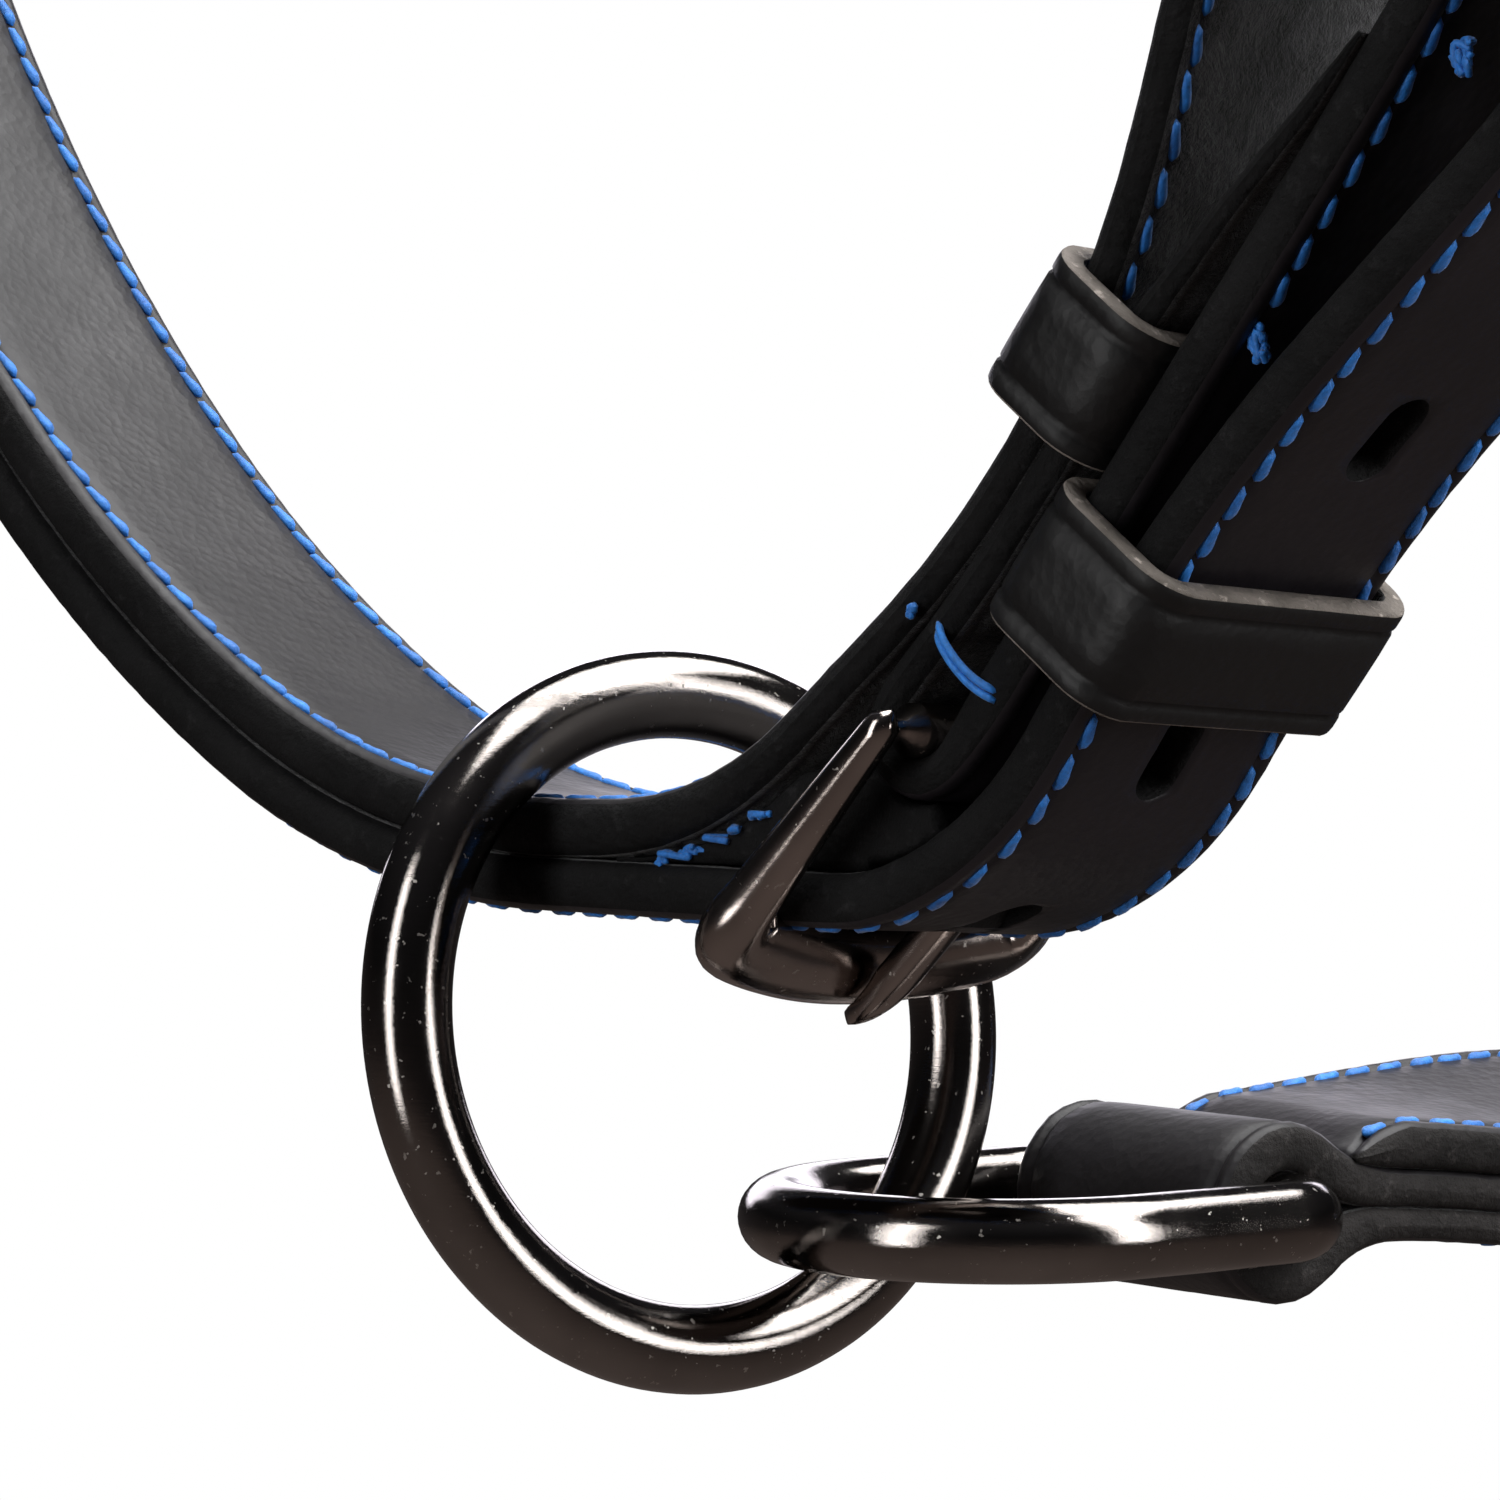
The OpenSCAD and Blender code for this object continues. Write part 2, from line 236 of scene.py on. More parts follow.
left_arm = walk((*FOOT, 180), [(56, -30), (110, -15), (160, -45)])
billet_path = walk((*FOOT, -1.6), [(21.2, 0), (10, 17), (21.5, 41), (100, -15), (12, 0), (40, 37.6),
                                   (130, -10), (173.6, 21), (95, 0)])
leg_out = BORE_R + 2.8
end_path = walk((*at_heel([(0, -leg_out)])[0], END_HEADING), [(40, 0), (170, 37.5)])
crown_r = (end_path[-1][0] - left_arm[-1][0]) / 2
crown_rise = walk((left_arm[-1][0], left_arm[-1][1], 90),
                  [(CROWN_H - left_arm[-1][1], 0), (crown_r, -180), (CROWN_H - end_path[-1][1], 0)])
guard_free = walk((FOOT[0], FOOT[1] + OUTER_T + GUARD_T, 0), [(4, 0), (20, 39), (8.5, 0), (50, 36), (52, 0)])
guard_lined = walk((left_arm[-1][0], left_arm[-1][1] + GUARD_RISE, 270), [(GUARD_RISE, 0)]) + \
    backwards(left_arm)[1:]
CROWN = Vector((left_arm[-1][0] + crown_r, 0, CROWN_H + crown_r - OUTER_T))

loop_top = LOOP_H - LOWER_T
girth_inner = GIRTH_HEEL[1] + BORE_R + SKIVED_T + 0.2
bend = math.radians(GIRTH_BEND)
descent = (loop_top - girth_inner - 2 * GIRTH_BEND_R * (1 - math.cos(bend))) / math.sin(bend)
girth_path = walk((GIRTH_START, -LOWER_T, 0),
                  [(BODY_L + LOOP_L - GIRTH_START, 0), (LOOP_H / 2, 180), (45, 0), (GIRTH_BEND_R, GIRTH_BEND),
                   (descent, 0), (GIRTH_BEND_R, -GIRTH_BEND), (18, 0), (22, 15.5), (22, -15.5), (22, 0),
                   (GIRTH_BEND_R, 21.1), (GIRTH_BEND_R, -21.1), (60, 0)])


# ---------------- planes and frames

def turn(rx, ry, rz):
    """OpenSCAD's rotate([rx, ry, rz])."""
    return (Matrix.Rotation(math.radians(rz), 4, "Z") @ Matrix.Rotation(math.radians(ry), 4, "Y")
            @ Matrix.Rotation(math.radians(rx), 4, "X"))


ROW = Matrix.Scale(0.001, 4) @ Matrix.Translation(-CROWN)
# A strap's own plane: (along x, across, up z) of its lines go to the design's frame
NECK_PLANE = Matrix.Identity(4)
IN_DEE = Matrix.Translation(DEE_C) @ turn(*DEE_TURN)
IN_BODY = IN_DEE @ Matrix.Rotation(math.radians(BODY_PITCH), 4, "X")
BODY_PLANE = IN_BODY @ Matrix(((0, 1, 0, 0), (1, 0, 0, 0), (0, 0, 1, 0), (0, 0, 0, 1)))


def at(plane, x, z, heading):
    """A frame in a strap's plane: X along the heading, Y across the strap, Z to the left of the heading."""
    return plane @ Matrix.Translation((x, 0, z)) @ Matrix.Rotation(-math.radians(heading), 4, "Y")


AT_NECK_HEEL = at(NECK_PLANE, *NECK_HEEL, END_HEADING)


def moved(points, matrix):
    m = np.array(matrix)
    return np.asarray(points, float) @ m[:3, :3].T + m[:3, 3]


# ---------------- meshes

def new_mesh(name, points, faces, materials, indices=None, matrix=Matrix.Identity(4)):
    """An object from points in a plane or frame of the design, with its faces turned outwards."""
    mesh = bpy.data.meshes.new(name)
    mesh.from_pydata(moved(points, ROW @ matrix).tolist(), [], [tuple(f) for f in faces])
    for material in materials:
        mesh.materials.append(material)
    if indices is not None:
        mesh.polygons.foreach_set("material_index", np.asarray(indices, np.int32))
    mesh.polygons.foreach_set("use_smooth", [True] * len(mesh.polygons))
    mesh.validate()
    solid = bmesh.new()
    solid.from_mesh(mesh)
    bmesh.ops.recalc_face_normals(solid, faces=solid.faces)
    solid.to_mesh(mesh)
    solid.free()
    obj = bpy.data.objects.new(name, mesh)
    bpy.context.scene.collection.objects.link(obj)
    return obj


def grid_faces(rings, around, closed_along=False):
    """Quads over rings of points, each ring closed."""
    i, j = np.meshgrid(np.arange(rings if closed_along else rings - 1), np.arange(around), indexing="ij")
    a = i * around + j
    b = i * around + (j + 1) % around
    c = ((i + 1) % rings) * around + (j + 1) % around
    d = ((i + 1) % rings) * around + j
    return [tuple(q) for q in np.stack([a, b, c, d], -1).reshape(-1, 4)]


def capped(rings, around):
    """The quads over rings of points, and a cap on the first and on the last ring."""
    first = tuple(range(around))[::-1]
    last = tuple(range((rings - 1) * around, rings * around))
    return grid_faces(rings, around) + [first, last]


def tube(centres, radius, around=16, closed=False, flat=1.0, up=(0, 0, 1)):
    """Points and faces of a round tube along 3D points; radius may vary, flat squeezes it along up."""
    c = np.asarray(centres, float)
    r = np.broadcast_to(np.asarray(radius, float), (len(c),))
    f = np.broadcast_to(np.asarray(flat, float), (len(c),))
    if closed:
        t = np.roll(c, -1, 0) - np.roll(c, 1, 0)
    else:
        t = np.gradient(c, axis=0)
    t = unit(t)
    v = unit(np.cross(np.broadcast_to(np.asarray(up, float), c.shape), t))
    u = np.cross(t, v)
    a = np.linspace(0, 2 * math.pi, around, endpoint=False)
    rings = (c[:, None] + r[:, None, None] * (np.cos(a)[None, :, None] * v[:, None]
             + (f[:, None] * np.sin(a)[None, :])[:, :, None] * u[:, None]))
    faces = grid_faces(len(c), around, True) if closed else capped(len(c), around)
    return rings.reshape(-1, 3), faces


def join_parts(parts):
    """One list of points and faces from several."""
    points, faces, start = [], [], 0
    for p, f in parts:
        points.append(np.asarray(p, float))
        faces += [tuple(int(i) + start for i in q) for q in f]
        start += len(p)
    return np.concatenate(points), faces


def arc_points(c, r, a, b, n):
    """An arc about c from angle a to angle b, in n steps."""
    return [(c[0] + r * math.cos(math.radians(a + (b - a) * i / n)),
             c[1] + r * math.sin(math.radians(a + (b - a) * i / n))) for i in range(n + 1)]


# ---------------- straps

# Where a strap's faces have points across one half, close together at the sewn groove, and the half
# width of the face that these are for
FACE_ROWS = (-7.95, -7.75, -7.55, -7.35, -7.1, -5.8, -4.2, -2.4, -0.8)
FACE_HALF = 8.15


def strap_outline(thick, half, round_r, grooves):
    """A strap's section, (across, up) from its middle, turning left: points and material numbers."""
    r = min(round_r, 0.48 * thick, 0.8 * half)
    flat = half - r
    scale = flat / FACE_HALF
    ys = [y * scale for y in FACE_ROWS]
    ys = ys + [-y for y in reversed(ys)]

    def groove(y):
        return 0.3 * math.exp(-((abs(y) - ROW_OFFSET * scale) / 0.33) ** 2) if grooves else 0.0

    top = thick / 2
    points = arc_points((flat, -top + r), r, -90, 0, 4)
    kinds = [FLESH, EDGE, EDGE, EDGE, EDGE]
    points += [(half + 0.04, 0.0)]
    kinds += [EDGE]
    points += arc_points((flat, top - r), r, 0, 90, 4)
    kinds += [EDGE, EDGE, GRAIN, GRAIN, GRAIN]
    points += [(y, top - groove(y)) for y in reversed(ys)]
    kinds += [GRAIN] * len(ys)
    points += arc_points((-flat, top - r), r, 90, 180, 4)
    kinds += [GRAIN, GRAIN, EDGE, EDGE, EDGE]
    points += [(-half - 0.04, 0.0)]
    kinds += [EDGE]
    points += arc_points((-flat, -top + r), r, 180, 270, 4)
    kinds += [EDGE, EDGE, EDGE, FLESH, FLESH]
    points += [(y, -top + 0.5 * groove(y)) for y in ys]
    kinds += [FLESH] * len(ys)
    return points, kinds


def lean(points):
    """Turns a strap about its own length, more and then less along it, as a hanging strap twists."""
    a, b, c, d = LEAN_SPAN
    q = np.array(points)
    share = np.array([ease((y - a) / (b - a)) * (1 - ease((y - c) / (d - c))) for y in q[:, 0]])
    angle = np.radians(LEAN) * share
    across, up = q[:, 1].copy(), q[:, 2] - LEAN_AXIS
    q[:, 1] = across * np.cos(angle) - up * np.sin(angle)
    q[:, 2] = across * np.sin(angle) + up * np.cos(angle) + LEAN_AXIS
    return q


def sweep_strap(name, plane, points, thick, materials, grain=1, round_r=1.15, half=None, grooves=True,
                leaning=False):
    """A leather strap along a line in a plane, with its grain face to the left (1) or the right (-1)."""
    p = np.asarray(points, float)
    count = len(p)
    thick = np.broadcast_to(np.asarray(thick, float), (count,))
    half = np.broadcast_to(np.asarray(STRAP_W / 2 if half is None else half, float), (count,))
    n = grain * left_of(p)
    s = lengths(p)
    rings, kinds = [], None
    for i in range(count):
        outline, kinds = strap_outline(thick[i], half[i], round_r, grooves)
        ring = []
        for across, up in outline:
            edge_near = (abs(across) / (STRAP_W / 2)) ** 4
            wobble = EDGE_WAVE * edge_near * noise.noise(Vector((s[i] * 0.06, across * 0.05, len(name))))
            rough = 0.05 * noise.noise(Vector((s[i] * 0.9, across * 0.7, up * 0.7 + len(name))))
            lift = up + rough
            wide = across * (1 + wobble)
            ring.append((p[i, 0] + n[i, 0] * lift, grain * wide, p[i, 1] + n[i, 1] * lift))
        rings.append(ring)
    around = len(rings[0])
    rings = np.array(rings).reshape(-1, 3)
    if leaning:
        rings = lean(rings)
    indices = list(kinds) * (count - 1) + [EDGE, EDGE]
    return new_mesh(name, rings, capped(count, around), materials, indices, plane)


def pointed(to_tip):
    """Half width of a strap near its pointed tip, by the distance from the tip."""
    if to_tip > TIP_L:
        return STRAP_W / 2
    return max(0.6, STRAP_W / 2 * (0.07 + 0.93 * math.sin(math.pi / 2 * to_tip / TIP_L) ** 0.8))


def tip_halves(points):
    """Half widths along a strap that ends in a pointed tip."""
    s = lengths(points)
    return [pointed(s[-1] - d) for d in s]


def skived_in(s, thick, run):
    """Thicknesses that start at a skived edge and are full after a run."""
    return [SKIVED_END_T + (t - SKIVED_END_T) * ease(d / run) for d, t in zip(s, thick)]


# ---------------- stitches

def stitch_shape(around=8, along=8):
    """One plump two-ply stitch along X, sunk at its ends."""
    rings = []
    for i in range(along):
        u = -1 + 2 * i / (along - 1)
        body = math.sqrt(max(0.0, 1 - abs(u) ** 5))
        ring = []
        for j in range(around):
            a = 2 * math.pi * j / around
            ply = 1 + 0.13 * math.cos(2 * (a - 1.9 * u))
            r = max(0.12, body) * STITCH_R * ply
            ring.append((u * STITCH_L / 2, r * math.cos(a), r * 0.85 * math.sin(a) - 0.10 * u * u))
        rings.append(ring)
    return np.array(rings).reshape(-1, 3), capped(along, around)


STITCH = stitch_shape()


def sew(name, body, plane, points, thick, grain, face, span, seed, slant=STITCH_SLANT, leaning=False):
    """Two rows of stitches on a strap's grain (1) or flesh (-1) face between two lengths along it."""
    draw = random.Random(seed)
    p = np.asarray(points, float)
    s = lengths(p)
    thick = np.broadcast_to(np.asarray(thick, float), (len(p),))
    parts = []
    first, last = span
    for row_side in (-1, 1):
        for k in range(int((last - first) / STITCH_PITCH)):
            d = first + (k + 0.5 + 0.06 * draw.uniform(-1, 1)) * STITCH_PITCH
            (x1, z1), (x, z), (x2, z2) = ([np.interp(v, s, c) for c in p.T] for v in (d - 1, d, d + 1))
            heading = math.degrees(math.atan2(z2 - z1, x2 - x1))
            across = row_side * (ROW_OFFSET + 0.06 * draw.uniform(-1, 1))
            up = grain * face * (np.interp(d, s, thick) / 2 - STITCH_SINK)
            place = at(Matrix.Identity(4), x, z, heading) @ Matrix.Translation((0, across, up))
            if face * grain < 0:
                place = place @ Matrix.Rotation(math.pi, 4, "X")
            tilt = slant + 3 * draw.uniform(-1, 1)
            place = place @ Matrix.Rotation(math.radians(tilt), 4, "Z")
            size = 1 + 0.05 * draw.uniform(-1, 1)
            plump = 1 + 0.08 * draw.uniform(-1, 1)
            parts.append((moved(STITCH[0] * [size, plump, 1], place), STITCH[1]))
    points_out, faces = join_parts(parts)
    if leaning:
        points_out = lean(points_out)
    settle(new_mesh(name, points_out, faces, [THREAD], matrix=plane), body, "thread")


def knot(centre, size, seed, strands):
    """A small tangle of thread."""
    draw = random.Random(seed)
    parts = []
    for _ in range(strands):
        ctrl = [Vector(centre) + Vector([s * draw.uniform(-1, 1) for s in size]) for _ in range(7)]
        line = relax(np.repeat(np.array([list(v) for v in ctrl]), 6, axis=0), 12)
        parts.append(tube(line, KNOT_R, 7, up=(0.31, 0.9, 0.3)))
    return parts


# ---------------- procedural materials

def nodes_of(name):
    """A new material, its node tree, its shader and the point on the object that its textures use."""
    material = bpy.data.materials.new(name)
    material.use_nodes = True
    tree = material.node_tree
    return material, tree, tree.nodes["Principled BSDF"], object_point(tree)


def add(tree, kind, **inputs):
    node = tree.nodes.new(kind)
    for key, value in inputs.items():
        if key in node.inputs:
            node.inputs[key].default_value = value
        else:
            setattr(node, key, value)
    return node


def object_point(tree, scale=(1, 1, 1)):
    coordinates = tree.nodes.new("ShaderNodeTexCoord")
    mapping = add(tree, "ShaderNodeMapping", Scale=scale)
    tree.links.new(coordinates.outputs["Object"], mapping.inputs["Vector"])
    return mapping.outputs["Vector"]


def noise_of(tree, point, scale, detail=4.0, roughness=0.55, distortion=0.0):
    node = add(tree, "ShaderNodeTexNoise", Scale=scale, Detail=detail, Roughness=roughness,
               Distortion=distortion)
    tree.links.new(point, node.inputs["Vector"])
    return node.outputs["Fac"]


def ramp(tree, value, stops):
    node = tree.nodes.new("ShaderNodeValToRGB")
    elements = node.color_ramp.elements
    while len(elements) < len(stops):
        elements.new(0.5)
    for element, (position, colour) in zip(elements, stops):
        element.position = position
        element.color = (*colour, 1) if len(colour) == 3 else colour
    tree.links.new(value, node.inputs["Fac"])
    return node.outputs["Color"]


def grey(v):
    return (v, v, v)


def mix(tree, a, b, factor, blend="MIX"):
    node = tree.nodes.new("ShaderNodeMix")
    node.data_type = "RGBA"
    node.blend_type = blend
    for socket, value in ((node.inputs[0], factor), (node.inputs[6], a), (node.inputs[7], b)):
        if isinstance(value, (float, int)):
            socket.default_value = value
        elif isinstance(value, tuple):
            socket.default_value = (*value, 1)
        else:
            tree.links.new(value, socket)
    return node.outputs[2]


def share_of(tree, mask, share):
    """A mask turned down to a share of its strength."""
    return mix(tree, (0, 0, 0), grey(share), mask)


def feed(tree, shader, **inputs):
    """Sets a shader's inputs, named with _ for a space, to values or to the outputs of other nodes."""
    for key, value in inputs.items():
        socket = shader.inputs[key.replace("_", " ")]
        if isinstance(value, (int, float, tuple)):
            socket.default_value = value
        else:
            tree.links.new(value, socket)


def bump(tree, height, strength, distance, normal=None):
    node = add(tree, "ShaderNodeBump", Strength=strength, Distance=distance)
    tree.links.new(height, node.inputs["Height"])
    if normal is not None:
        tree.links.new(normal, node.inputs["Normal"])
    return node.outputs["Normal"]


def leather_grain(name, dark, light, roughness, pores=1.0):
    """Smooth finished face: fine pores, faint creases and rubbed patches."""
    material, tree, shader, point = nodes_of(name)
    patches = noise_of(tree, point, 60, 5, 0.6)
    base = ramp(tree, patches, [(0.3, dark), (0.72, light)])
    specks = noise_of(tree, point, 1500, 3, 0.7)
    flecks = ramp(tree, specks, [(0.66, grey(0)), (0.74, grey(1))])
    speckled = mix(tree, base, tuple(2.2 * c for c in light), share_of(tree, flecks, 0.35))
    worn = ramp(tree, noise_of(tree, point, 140, 6, 0.65),
                [(0.25, grey(roughness - 0.07)), (0.75, grey(roughness + 0.12))])
    cells = add(tree, "ShaderNodeTexVoronoi", Scale=1400.0)
    tree.links.new(point, cells.inputs["Vector"])
    normal = bump(tree, cells.outputs["Distance"], 0.22 * pores, 0.00012)
    normal = bump(tree, noise_of(tree, point, 420, 5, 0.6), 0.35, 0.00022, normal)
    creases = add(tree, "ShaderNodeTexWave", Scale=22.0, Distortion=14.0, Detail=3.0)
    tree.links.new(point, creases.inputs["Vector"])
    normal = bump(tree, creases.outputs["Fac"], 0.06, 0.0005, normal)
    feed(tree, shader, Base_Color=speckled, Roughness=worn, Specular_IOR_Level=0.34, Normal=normal)
    return material


def leather_edge(name, dark, light):
    """Cut and dyed edge: matte, with fibres along it."""
    material, tree, shader, point = nodes_of(name)
    fibres = noise_of(tree, point, 900, 6, 0.7)
    patches = noise_of(tree, point, 150, 4, 0.6)
    base = ramp(tree, patches, [(0.3, dark), (0.75, light)])
    pale = ramp(tree, fibres, [(0.58, grey(0)), (0.78, grey(1))])
    colour = mix(tree, base, tuple(4 * c for c in light), share_of(tree, pale, 0.55))
    normal = bump(tree, fibres, 0.8, 0.0005)
    normal = bump(tree, patches, 0.45, 0.0012, normal)
    feed(tree, shader, Base_Color=colour, Roughness=0.72, Specular_IOR_Level=0.16, Normal=normal)
    return material


def leather_flesh(name, dark, light):
    """Fuzzy back of the leather: clumped grey fibres."""
    material, tree, shader, point = nodes_of(name)
    clumps = noise_of(tree, point, 260, 8, 0.72, 0.6)
    hairs = noise_of(tree, point, 1300, 4, 0.8, 1.2)
    colour = mix(tree, ramp(tree, clumps, [(0.38, dark), (0.7, light)]),
                 ramp(tree, hairs, [(0.45, grey(0.3)), (0.75, grey(1.8))]), 0.75, "MULTIPLY")
    normal = bump(tree, clumps, 0.8, 0.0009)
    normal = bump(tree, hairs, 0.7, 0.0004, normal)
    feed(tree, shader, Base_Color=colour, Roughness=0.93, Specular_IOR_Level=0.15, Sheen_Weight=0.3,
         Sheen_Roughness=0.5, Normal=normal)
    return material


def thread_material():
    """Waxed blue thread with fine fibres."""
    material, tree, shader, point = nodes_of("blue_thread")
    fibres = noise_of(tree, point, 2600, 4, 0.7)
    tone = noise_of(tree, point, 320, 3, 0.6)
    colour = mix(tree, ramp(tree, tone, [(0.3, (0.008, 0.12, 0.44)), (0.7, (0.022, 0.24, 0.78))]),
                 ramp(tree, fibres, [(0.35, grey(0.62)), (0.7, grey(1.25))]), 0.8, "MULTIPLY")
    feed(tree, shader, Base_Color=colour, Roughness=0.55, Sheen_Weight=0.25, Sheen_Roughness=0.4,
         Normal=bump(tree, fibres, 0.55, 0.0002))
    return material


def nickel(name, base, roughness=0.11):
    """Polished black nickel with dust and hair scratches."""
    material, tree, shader, point = nodes_of(name)
    tone = noise_of(tree, point, 90, 4, 0.6)
    plain = ramp(tree, tone, [(0.3, tuple(0.82 * c for c in base)), (0.7, tuple(1.12 * c for c in base))])
    dust = ramp(tree, noise_of(tree, point, 1900, 2, 0.6), [(0.665, grey(0)), (0.72, grey(1))])
    colour = mix(tree, plain, (0.55, 0.52, 0.48), share_of(tree, dust, 0.5))
    smear = noise_of(tree, point, 170, 5, 0.65)
    rough = ramp(tree, smear, [(0.35, grey(roughness * 0.75)), (0.7, grey(roughness * 1.7))])
    rough = mix(tree, rough, grey(0.5), share_of(tree, dust, 0.8))
    scratch = add(tree, "ShaderNodeTexNoise", Scale=240.0, Detail=6.0, Roughness=0.75, Distortion=2.5)
    tree.links.new(object_point(tree, (1, 1, 7)), scratch.inputs["Vector"])
    normal = bump(tree, scratch.outputs["Fac"], 0.06, 0.00025)
    normal = bump(tree, smear, 0.03, 0.0008, normal)
    feed(tree, shader, Base_Color=colour, Roughness=rough, Metallic=1.0, Normal=normal)
    return material


def floor_material():
    """Pale paper that gives off some light of its own."""
    material, tree, shader, point = nodes_of("pale_floor")
    paper = ramp(tree, noise_of(tree, point, 6, 4, 0.5), [(0.3, grey(0.80)), (0.7, grey(0.84))])
    feed(tree, shader, Base_Color=paper, Roughness=0.8, Emission_Color=(1, 1, 1, 1), Emission_Strength=0.55)
    return material


STRAP_FACE = leather_grain("bridle_leather", (0.0058, 0.0046, 0.0062), (0.011, 0.0088, 0.0118), 0.45)
LINING_FACE = leather_grain("lining_leather", (0.0062, 0.0054, 0.0062), (0.0125, 0.0108, 0.0125), 0.47, 1.3)
KEEPER_FACE = leather_grain("keeper_leather", (0.0027, 0.0025, 0.0027), (0.0058, 0.0054, 0.0057), 0.5, 1.2)
STRAP_EDGE = leather_edge("leather_edge", (0.0026, 0.0026, 0.0028), (0.009, 0.0088, 0.0092))
CUT_EDGE = leather_edge("keeper_cut_edge", (0.13, 0.115, 0.10), (0.34, 0.30, 0.27))
FLESH_FACE = leather_flesh("leather_flesh", (0.003, 0.003, 0.0032), (0.10, 0.10, 0.105))
THREAD = thread_material()
RING_METAL = nickel("ring_nickel", (0.22, 0.20, 0.188), 0.085)
BUCKLE_METAL = nickel("buckle_nickel", (0.31, 0.27, 0.25), 0.12)
STRAP_SET = [STRAP_FACE, STRAP_EDGE, FLESH_FACE]
LINING_SET = [LINING_FACE, STRAP_EDGE, FLESH_FACE]
# The body strap's edges: a lighter copy of the edge colour, painted light for edges that face away from the
# lamps
BODY_EDGE_PAINTED_LIGHT = leather_edge("body_edge_painted_light", (0.007, 0.0065, 0.0065), (0.034, 0.031, 0.030))
BODY_SET = [LINING_FACE, BODY_EDGE_PAINTED_LIGHT, FLESH_FACE]
TOP_SET = [STRAP_FACE, BODY_EDGE_PAINTED_LIGHT, FLESH_FACE]


def settle(obj, body, slot_name, *nodes):
    """A piece rides on its body and may stand for CAD nodes, whose parts it hides; slot_name is not used."""
    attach(obj, body)
    if nodes:
        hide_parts(*nodes)


# ---------------- neck strap

def neck_strap_line():
    """The whole strap's middle line and thickness: billet tip, foot, left arm, crown, right arm, fold."""
    outer = backwards(billet_path) + left_arm[1:] + crown_rise[1:] + backwards(end_path)[1:]
    middle = side(outer, -OUTER_T / 2)
    thick = [OUTER_T] * len(middle)
    keep = len(middle) - max(1, round(4.0 / STEP))
    middle, thick = middle[:keep], thick[:keep]
    # The fold round the heel bar and the return leg: (along, left, thickness) at the heel
    fold = [(2.0, -2.87, 2.75)]
    for i in range(13):
        a = math.radians(270 - 15 * i)
        r = 2.82 - 0.12 * i / 12
        fold.append((r * math.cos(a), r * math.sin(a), 2.4 - 0.2 * i / 12))
    fold += [(4, 2.2, 2.1), (9, 1.75, 2.1), (17, 1.6, 2.0), (26, 1.25, 1.8), (33, 0.38, 1.35),
             (40, -0.78, 1.0), (44.6, -1.3, 0.35)]
    middle += at_heel([(u, v) for u, v, _ in fold])
    thick += [t for _, _, t in fold]
    points, values = evenly(middle, thick, FINE_STEP)
    return relax(points, 3), values


def hole_cutter(frames):
    """Flared oval punches, as one mesh, at frames whose X runs along the strap and Z through it."""
    parts, around = [], 28
    for place, length, width, depth in frames:
        rings = []
        for z, grow in ((-depth, 0.9), (-depth / 2 - 0.1, 0.18), (-depth / 2 + 0.5, 0.0),
                        (depth / 2 - 0.5, 0.0), (depth / 2 + 0.02, 0.16), (depth, 0.9)):
            outline = []
            for k in range(around):
                a = 2 * math.pi * k / around
                x = (length - width) / 2 * (1 if math.cos(a) >= 0 else -1) + (width / 2 + grow) * math.cos(a)
                outline.append((x, (width / 2 + grow) * math.sin(a), z))
            rings.append(outline)
        parts.append((moved(np.array(rings).reshape(-1, 3), place), capped(len(rings), around)))
    return join_parts(parts)


def box_cutter(place, size):
    x, y, z = (v / 2 for v in size)
    q = np.array([(a * x, b * y, c * z) for a in (-1, 1) for b in (-1, 1) for c in (-1, 1)])
    faces = [(0, 1, 3, 2), (4, 6, 7, 5), (0, 4, 5, 1), (2, 3, 7, 6), (0, 2, 6, 4), (1, 5, 7, 3)]
    return moved(q, place), faces


def cut(obj, cutters, plane, material):
    """Cuts holes through a strap and applies the cut."""
    points, faces = join_parts(cutters)
    tool = new_mesh(obj.name + "_punch", points, faces, [material], matrix=plane)
    modifier = obj.modifiers.new("holes", "BOOLEAN")
    modifier.object = tool
    modifier.operation = "DIFFERENCE"
    modifier.solver = "MANIFOLD"
    graph = bpy.context.evaluated_depsgraph_get()
    mesh = bpy.data.meshes.new_from_object(obj.evaluated_get(graph), depsgraph=graph)
    obj.modifiers.clear()
    obj.data = mesh
    bpy.data.objects.remove(tool)


def punched(path, to_middle, spots):
    """Punches at (place, hole size) along a path; to_middle is from the path to the leather's middle."""
    d = lengths(path)
    frames = []
    for s, size in spots:
        x, z, heading = (np.interp(s, d, column) for column in zip(*path))
        place = at(Matrix.Identity(4), x, z, heading) @ Matrix.Translation((0, 0, to_middle))
        frames.append((place, *size, abs(to_middle) * 2))
    return hole_cutter(frames)


def make_neck_strap():
    points, thick = neck_strap_line()
    s = lengths(points)
    half = [pointed(d) for d in s]
    obj = sweep_strap("neck_strap_leather", NECK_PLANE, points, thick, STRAP_SET, half=half)
    spots = [(FIRST_HOLE + TONGUE_SHIFT, NECK_TONGUE_HOLE)]
    spots += [(FIRST_HOLE + i * HOLE_PITCH, BILLET_HOLE) for i in range(1, HOLE_COUNT)]
    holes = punched(billet_path, OUTER_T / 2, spots)
    slot = box_cutter(AT_NECK_HEEL @ Matrix.Translation((-3.5, 0, 0.3)), (16, 4, 8.6))
    cut(obj, [holes, slot], NECK_PLANE, STRAP_EDGE)
    settle(obj, "neck", "strap_leather", "neck_strap")
    sew("neck_strap_stitches", "neck", NECK_PLANE, points, thick, 1, 1,
        (ROW_FROM_TIP, s[-1] - FOLD_FROM_ROW), seed=3)


